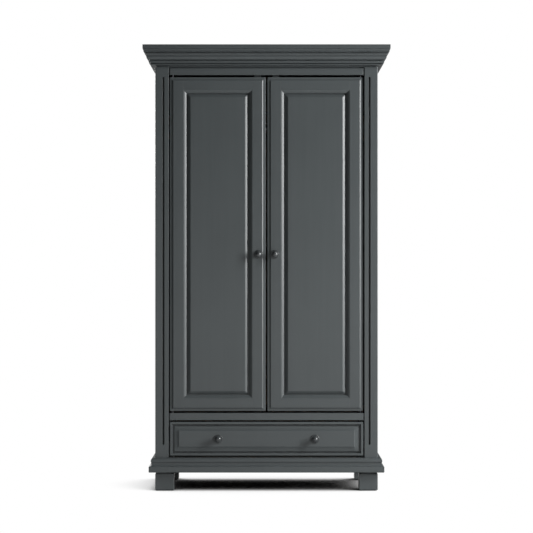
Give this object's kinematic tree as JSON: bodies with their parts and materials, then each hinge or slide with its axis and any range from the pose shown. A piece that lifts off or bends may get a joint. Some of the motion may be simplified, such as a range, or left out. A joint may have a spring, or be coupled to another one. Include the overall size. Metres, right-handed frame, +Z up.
{
  "type": "wardrobe",
  "caption": "Tall painted wardrobe with framed hinged doors over a full-width drawer, moulded cornice and base, square feet, hanging rail and hat shelf.",
  "frame": {"origin": "middle of the footprint, on the floor", "axes": "+Z up, doors and drawer face -Y, +X to the right seen from the front"},
  "size_m": [1.108, 0.594, 2],
  "materials": {
    "grey_paint": "satin dark grey paint on wood",
    "bare_wood": "clear matt varnish",
    "thin_sheet": "thin plywood",
    "steel": "satin plated",
    "dark_steel": "blackened",
    "knob_black": "glossy black enamel",
    "glide": "moulded"
  },
  "bodies": {
    "carcass": {"left_front_foot": "grey_paint", "left_rear_foot": "grey_paint", "right_front_foot": "grey_paint", "right_rear_foot": "grey_paint", "left_front_post": "grey_paint", "left_rear_post": "grey_paint", "left_side_rails": "grey_paint", "left_side_panels": "grey_paint", "right_front_post": "grey_paint", "right_rear_post": "grey_paint", "right_side_rails": "grey_paint", "right_side_panels": "grey_paint", "frieze_rail": "grey_paint", "middle_rail": "grey_paint", "base_front_rail": "grey_paint", "top_board": "grey_paint", "door_stops": "grey_paint", "cornice_front": "grey_paint", "cornice_left": "grey_paint", "cornice_right": "grey_paint", "base_moulding_front": "grey_paint", "base_moulding_left": "grey_paint", "base_moulding_right": "grey_paint", "back_top_rail": "bare_wood", "base_back_rail": "bare_wood", "compartment_floor": "bare_wood", "hat_shelf": "bare_wood", "shelf_cleats": "bare_wood", "drawer_runners": "bare_wood", "drawer_kickers": "bare_wood", "back_panel": "thin_sheet", "door_pivots": "dark_steel", "pivot_screws": "dark_steel", "hanging_rail": "steel", "rail_sockets": "steel", "foot_glides": "glide"},
    "left_door": {"left_door_hinge_stile": "grey_paint", "left_door_meeting_stile": "grey_paint", "left_door_top_rail": "grey_paint", "left_door_bottom_rail": "grey_paint", "left_door_panel": "grey_paint", "left_door_panel_strips": "grey_paint", "left_door_knob": "knob_black", "left_door_bushes": "steel"},
    "right_door": {"right_door_hinge_stile": "grey_paint", "right_door_meeting_stile": "grey_paint", "right_door_top_rail": "grey_paint", "right_door_bottom_rail": "grey_paint", "right_door_panel": "grey_paint", "right_door_panel_strips": "grey_paint", "right_door_knob": "knob_black", "right_door_bushes": "steel"},
    "drawer": {"drawer_front": "grey_paint", "drawer_left_side": "bare_wood", "drawer_right_side": "bare_wood", "drawer_back": "bare_wood", "drawer_bottom": "thin_sheet", "drawer_knobs": "knob_black", "drawer_knob_screws": "steel"}
  },
  "joints": [
    {"name": "left_door_hinge", "type": "hinge", "parent": "carcass", "child": "left_door", "pos_m": [-0.4225, -0.2305, 0.3577], "axis": [0, 0, -1], "range_deg": [0, 110]},
    {"name": "right_door_hinge", "type": "hinge", "parent": "carcass", "child": "right_door", "pos_m": [0.4225, -0.2305, 0.3577], "axis": [0, 0, 1], "range_deg": [0, 110]},
    {"name": "drawer_slide", "type": "slide", "parent": "carcass", "child": "drawer", "axis": [0, -1, 0], "range_m": [0, 0.4]}
  ]
}
